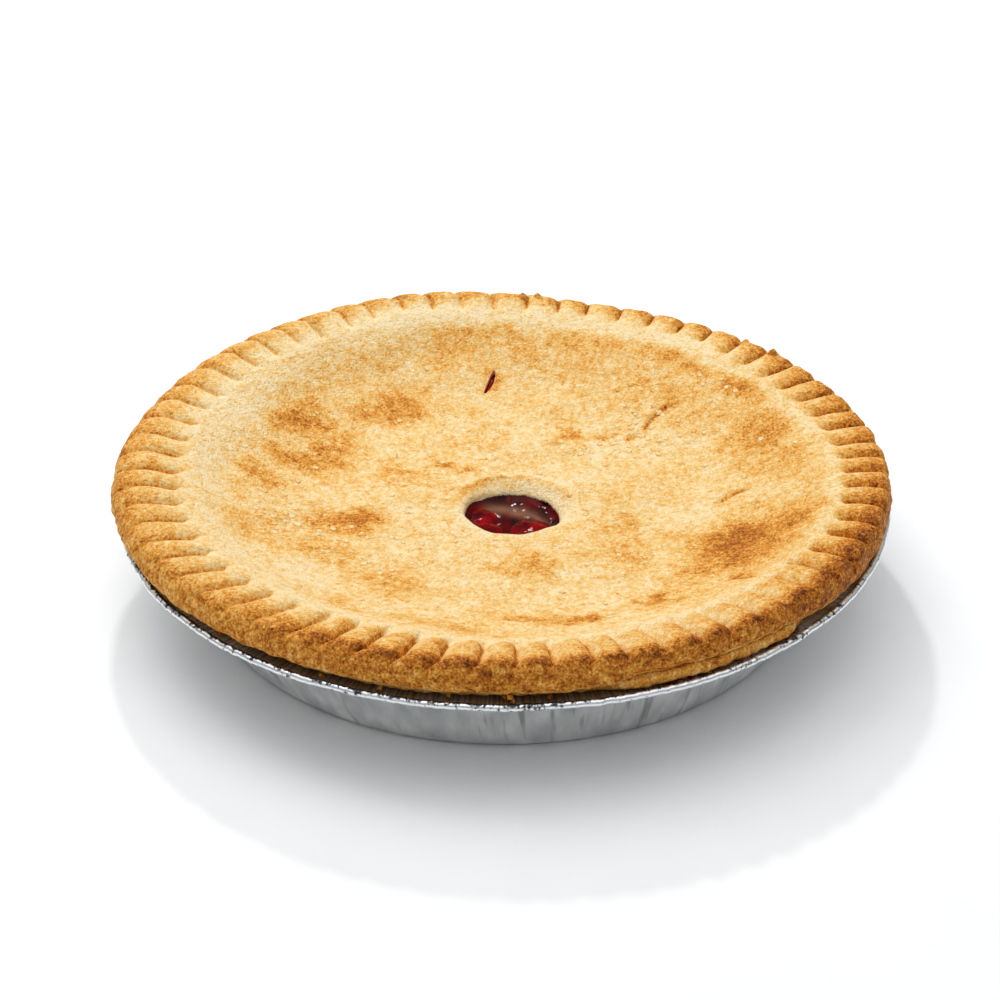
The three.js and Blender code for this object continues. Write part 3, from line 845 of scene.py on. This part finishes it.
# Filling, from the middle of its foot, out and up to its edge, and back in over the top.
FILLING_OUTLINE = (
    (0, 4.0), (77, 4.0), (80, 5.2), (95, 28.4), (92, 30.4), (84, 29.0), (66, 23.0), (44, 19.9), (24, 19.5),
    (16, 19.3), (8, 19.4), (0, 19.4),
)
FILLING_CUTS = (0, 0, 1, 0, 0, 1, 1, 6, 12, 12, 12)
FILLING_WEDGES, FILLING_STEPS = 12, 10
# Browner patches of syrup under the vent: middle, half length, half width, direction in degrees.
BROWN_GEL_PATCHES = ((4.0, 5.5, 6.5, 2.6, -28), (9.0, 2.5, 5.0, 1.5, -40), (-1.0, 7.5, 5.0, 2.4, 0))
# Cherries in the vent: middle, height of the crown, and radius.
CHERRIES = ((7.8, -4.6, 20.7, 6.8), (-7.4, 3.0, 20.15, 6.6), (-5.0, -4.8, 20.2, 5.6))
CHERRY_SQUASH = 0.34


def filling(gel):
    """The set filling, which climbs a little where it meets the vent's wall."""
    piece = piece_from(spun(FILLING_OUTLINE, FILLING_CUTS, FILLING_WEDGES, FILLING_STEPS), "cherry_gel", gel)
    mesh = piece.data
    places, along = places_of(mesh), along_of(mesh)
    top = step(along, 4.5, 6.0)
    places[:, :2] += top[:, None] * LID_CENTRE
    shown = step(along, 7.4, 8.4)
    places[:, 2] += shown * (0.5 * lumps(places, 9, 50) + 0.25 * lumps(places, 3.5, 51))
    away = np.hypot(places[:, 0] - LID_CENTRE[0], places[:, 1] - LID_CENTRE[1])
    way = np.degrees(np.arctan2(places[:, 1] - LID_CENTRE[1], places[:, 0] - LID_CENTRE[0])) % 360
    climb = 1.1 + 1.3 * arc_weight(way, 135, 225, 40)
    places[:, 2] += shown * climb * np.exp(-((away - 14.5) / 2.0) ** 2)
    put_places(mesh, places)
    browner_gel = np.zeros(len(places))
    for x, y, long, short, degrees in BROWN_GEL_PATCHES:
        dx = places[:, 0] - x + 0.8 * lumps(places, 4, 52)
        ahead, aside = ahead_and_aside(dx, places[:, 1] - y, degrees)
        browner_gel = np.maximum(browner_gel, np.exp(-((ahead / long) ** 2) - (aside / short) ** 2))
    put_values(mesh, "browner_gel", browner_gel * shown)
    return piece


def cherries(flesh):
    """Stewed cherries: dented balls, half sunk in the syrup."""
    bowl = bmesh.new()
    for x, y, crown, size in CHERRIES:
        made = bmesh.ops.create_icosphere(bowl, subdivisions=4, radius=size)["verts"]
        for vert in made:
            dent = noise.noise(vert.co / 5.0 + Vector((x, y, 3))) * 0.9 + noise.noise(vert.co / 2.2) * 0.25
            vert.co *= 1 + dent * 0.09
            vert.co.z *= CHERRY_SQUASH
        bmesh.ops.translate(bowl, verts=made, vec=(x, y, crown - CHERRY_SQUASH * size))
    # Syrup stands in the open slit.
    x, y, length, width, degrees, _ = OPEN_SLIT
    made = bmesh.ops.create_icosphere(bowl, subdivisions=3, radius=1)["verts"]
    bmesh.ops.scale(bowl, verts=made, vec=(length * SLIT_SYRUP[0], width * SLIT_SYRUP[1], SLIT_SYRUP[2]))
    lid_slope = Matrix.Rotation(-LID_SLOPE, 3, "Y")
    bmesh.ops.rotate(bowl, verts=made, matrix=Matrix.Rotation(math.radians(degrees), 3, "Z") @ lid_slope)
    bmesh.ops.translate(bowl, verts=made, vec=(x, y, SLIT_SYRUP_HEIGHT))
    return piece_from(bowl, "cherries", flesh)


def surface_of(piece):
    shape = bmesh.new()
    shape.from_mesh(piece.data)
    tree = BVHTree.FromBMesh(shape)
    shape.free()
    return tree


def add_lump(bag, at, size, squash, seed, outward=UP, ragged=0.25, drawn_out=0):
    """Adds one small uneven grain, pressed flat against a surface. Its top can be drawn out to a point."""
    grain = bmesh.new()
    bmesh.ops.create_icosphere(grain, subdivisions=2, radius=1)
    shift = Vector((seed * 3.7, seed * 1.3, seed * 7.9))
    for vert in grain.verts:
        vert.co *= 1 + ragged * noise.noise(vert.co * 1.2 + shift)
        if drawn_out:
            rise = max(vert.co.z, 0)
            narrow = 1 - 0.62 * rise
            vert.co = (vert.co.x * narrow + 0.3 * rise, vert.co.y * narrow, vert.co.z * drawn_out)
    breadth = 0.8 + 0.4 * ((seed * 0.618) % 1)
    bmesh.ops.scale(grain, verts=grain.verts, vec=(size, size * breadth, size * squash))
    turn = outward.to_track_quat("Z", "Y").to_matrix() @ Matrix.Rotation(seed * 2.4, 3, "Z")
    bmesh.ops.rotate(grain, verts=grain.verts, matrix=turn)
    bmesh.ops.translate(grain, verts=grain.verts, vec=at)
    loose = bpy.data.meshes.new("grain")
    grain.to_mesh(loose)
    grain.free()
    bag.from_mesh(loose)
    bpy.data.meshes.remove(loose)


# Fields of blisters: middle, spread, and how many.
BLISTER_FIELDS = (
    (-67, -10, 9, 34), (-39, -28, 12, 44), (40, 43, 13, 60), (-60, -14, 8, 18), (-78, 22, 8, 10),
    (20, 30, 14, 20), (0, -10, 45, 36), (-20, 40, 40, 30), (40, -20, 35, 24), (60, 60, 14, 20),
    (70, 20, 14, 14),
)
BLISTER_SIZES = (0.5, 1.05)
BLISTER_SQUASH = 0.24
# They keep to the dish, and off the vent and the open slit.
NEAREST_BLISTER, FURTHEST_BLISTER, LOWEST_BLISTER = 18, 88, 22
# Height over the lid from which a ray is cast down to find it.
ABOVE_ALL = 60


def blisters(pastry, lid_surface):
    """Pale blisters and crumbs of dough on the lid, one or two millimetres across."""
    bag = bmesh.new()
    rng = random.Random(5)
    count = 0
    for x, y, spread, many in BLISTER_FIELDS:
        for _ in range(many):
            at = Vector((rng.gauss(x, spread * 0.6), rng.gauss(y, spread * 0.6), ABOVE_ALL))
            size = rng.uniform(*BLISTER_SIZES)
            count += 1
            away = (at.xy - Vector(LID_CENTRE)).length
            hit, normal, _, _ = lid_surface.ray_cast(at, -UP)
            if hit is None or not NEAREST_BLISTER <= away <= FURTHEST_BLISTER or hit.z < LOWEST_BLISTER:
                continue
            add_lump(bag, hit, size, BLISTER_SQUASH, count, normal)
    piece = piece_from(bag, "lid_blisters", pastry)
    places = places_of(piece.data)
    above = np.array([lid_surface.find_nearest(Vector(place))[3] for place in places])
    put_values(piece.data, "bake_and_shade", np.clip(0.40 - 0.30 * np.clip(above / 0.18, 0, 1), 0, 1))
    return piece


# Torn points of dough on the rim: azimuth in degrees, radius, height of the tip over the crest, width.
RIM_POINTS = (
    (41.1, 106.2, 2.2, 1.8), (47.5, 106.4, 1.0, 1.5), (85.3, 105.4, 1.2, 1.9), (88.2, 105.6, 1.3, 2.0),
)
# Crumbs that hang under the lower edge, or lie on the flange: azimuth, radius, height, size.
HANGING_CRUMBS = (
    (270.9, 106.9, 29.3, 1.0), (276.3, 106.6, 29.5, 0.8), (270.4, 107.0, 30.2, 1.2),
    (262.0, 106.4, 29.6, 0.7), (243.0, 106.8, 29.3, 0.8), (291.0, 107.0, 29.4, 0.7),
    (224.0, 107.4, 29.2, 0.8), (252.0, 106.8, 29.4, 0.8), (300.0, 107.8, 29.2, 0.8),
)


def about_lid(degrees, radius, height):
    way = math.radians(degrees)
    return Vector((LID_CENTRE[0] + radius * math.cos(way), LID_CENTRE[1] + radius * math.sin(way), height))


def rim_crumbs(pastry, lid_surface):
    """Torn points on the rim, and crumbs that hang under the edge or lie on the flange."""
    bag = bmesh.new()
    for i, (degrees, radius, tip, width) in enumerate(RIM_POINTS):
        above = about_lid(degrees, radius, ABOVE_ALL)
        hit = lid_surface.ray_cast(above, -UP)[0] or above - UP * 22
        add_lump(bag, hit - UP * 0.6, width, 1.0, i + 3, ragged=0.3, drawn_out=(tip + 0.6) / width)
    for i, (degrees, radius, height, size) in enumerate(HANGING_CRUMBS):
        way = math.radians(degrees)
        at = Vector((radius * math.cos(way), radius * math.sin(way), height))
        for k in range(3):
            sideways, inwards = 0.5 * size * math.sin(2.1 * k + i), 0.4 * size * math.cos(2.9 * k + i)
            beside = Vector((sideways, inwards, -0.35 * size * k))
            add_lump(bag, at + beside, size * (0.8 - 0.15 * k), 0.9, i + 40 + 11 * k, ragged=0.7)
    piece = piece_from(bag, "rim_crumbs", pastry)
    places = places_of(piece.data)
    on_rim = step(places[:, 2], 33, 37)
    put_values(piece.data, "bake_and_shade", np.clip(0.60 - 0.18 * on_rim + 0.16 * lumps(places, 1.5, 61), 0, 1))
    return piece


# Syrup that boiled over onto the flange: azimuth, radius, size.
BURNT_SPOTS = (
    (296.5, 107.2, 1.5), (298.5, 107.8, 1.2), (300.2, 107.0, 1.0), (294.6, 107.6, 0.9),
    (314.0, 106.9, 1.8), (316.2, 107.4, 1.3), (312.2, 107.5, 1.0), (318.0, 107.0, 0.9),
)
FLANGE_TOP = 28.3


def boiled_over(syrup):
    """Flat lumps of burnt syrup, three to a spot."""
    bag = bmesh.new()
    for i, (degrees, radius, size) in enumerate(BURNT_SPOTS):
        way = math.radians(degrees)
        for k in range(3):
            turn = way + (k - 1) * size * 0.008
            out = radius - 0.5 * k
            at = Vector((out * math.cos(turn), out * math.sin(turn), FLANGE_TOP + 0.25 * k))
            add_lump(bag, at, size * (1 - 0.2 * k), 0.5, i * 3 + k + 90, ragged=0.6)
    return piece_from(bag, "burnt_syrup_spots", syrup)


# ---------------------------------------------------------------- studio

# Camera and its aim, in millimetres, and its lens.
CAMERA_AT = (-1.25, -861.63, 534.51)
CAMERA_AIM = (-1.25, 0, 26.97)
SENSOR, LENS = 36, 124.4
# Lamps: where they stand in metres, how wide they are, and their watts. All point at the lid.
LAMP_AIM = (0, 0, 0.03)
LAMPS = {
    "key_softbox": ((-0.5, 0.5, 1.2), 0.9, 5.0),
    "glint_lamp": ((-0.15, 0.95, 0.9), 0.075, 4.6),
}
# Strength of the sky straight up, how fast it falls off, and what is left at the horizon.
SKY_STRENGTH, SKY_FALLOFF, HORIZON = 1.9, 4.0, 0.20
FLOOR_DROP = 0.0004


def area_light(name, at, size, watts):
    light = bpy.data.lights.new(name, "AREA")
    light.shape, light.size, light.energy = "SQUARE", size, watts
    lamp = bpy.data.objects.new(name, light)
    lamp.location = at
    lamp.rotation_mode = "QUATERNION"
    lamp.rotation_quaternion = (Vector(LAMP_AIM) - Vector(at)).to_track_quat("-Z", "Y")
    bpy.context.collection.objects.link(lamp)


def studio():
    """Paper floor, soft light from overhead, and the camera."""
    sweep = bmesh.new()
    bmesh.ops.create_grid(sweep, x_segments=8, y_segments=8, size=4)
    floor = piece_from(sweep, "paper_floor", studio_paper())
    floor.location.z = -FLOOR_DROP

    world = bpy.data.worlds.new("soft_box_room")
    world.use_nodes = True
    world.node_tree.nodes.clear()
    tree = world.node_tree
    # Most of the light comes from overhead, as from a big soft box.
    direction = node(tree, "ShaderNodeTexCoord").outputs["Generated"]
    rise = node(tree, "ShaderNodeSeparateXYZ", {0: direction}).outputs["Z"]
    glow = maths(tree, "MULTIPLY_ADD", maths(tree, "POWER", rise, SKY_FALLOFF), SKY_STRENGTH, HORIZON)
    sky = node(tree, "ShaderNodeBackground", {"Color": linear("#f6f8fb"), "Strength": glow})
    node(tree, "ShaderNodeOutputWorld", {"Surface": sky.outputs[0]})
    bpy.context.scene.world = world

    for name, (at, size, watts) in LAMPS.items():
        area_light(name, at, size, watts)

    camera_data = bpy.data.cameras.new("camera")
    camera_data.sensor_width, camera_data.lens = SENSOR, LENS
    camera = bpy.data.objects.new("camera", camera_data)
    camera.location = Vector(CAMERA_AT) * MM
    camera.rotation_mode = "QUATERNION"
    camera.rotation_quaternion = (Vector(CAMERA_AIM) * MM - camera.location).to_track_quat("-Z", "Y")
    bpy.context.collection.objects.link(camera)
    bpy.context.scene.camera = camera
    bpy.context.scene.view_settings.view_transform = "Standard"
    bpy.context.scene.view_settings.look = "None"


pastry = shortcrust()
lid = lid_crust(pastry, soaked_crumb())
lid_surface = surface_of(lid)
finished(blisters(pastry, lid_surface), "lid_pastry")
finished(rim_crumbs(pastry, lid_surface), "lid_pastry")
finished(lid, "lid_pastry", "lid_crust")
finished(bottom_crust(pastry), "base_pastry", "base_crust")
finished(filling(cherry_gel()), "filling", "cherry_filling")
finished(cherries(cherry_flesh()), "filling")
finished(boiled_over(burnt_syrup()), "filling")
finished(tin(pressed_foil()), "foil", "foil_tin")
studio()
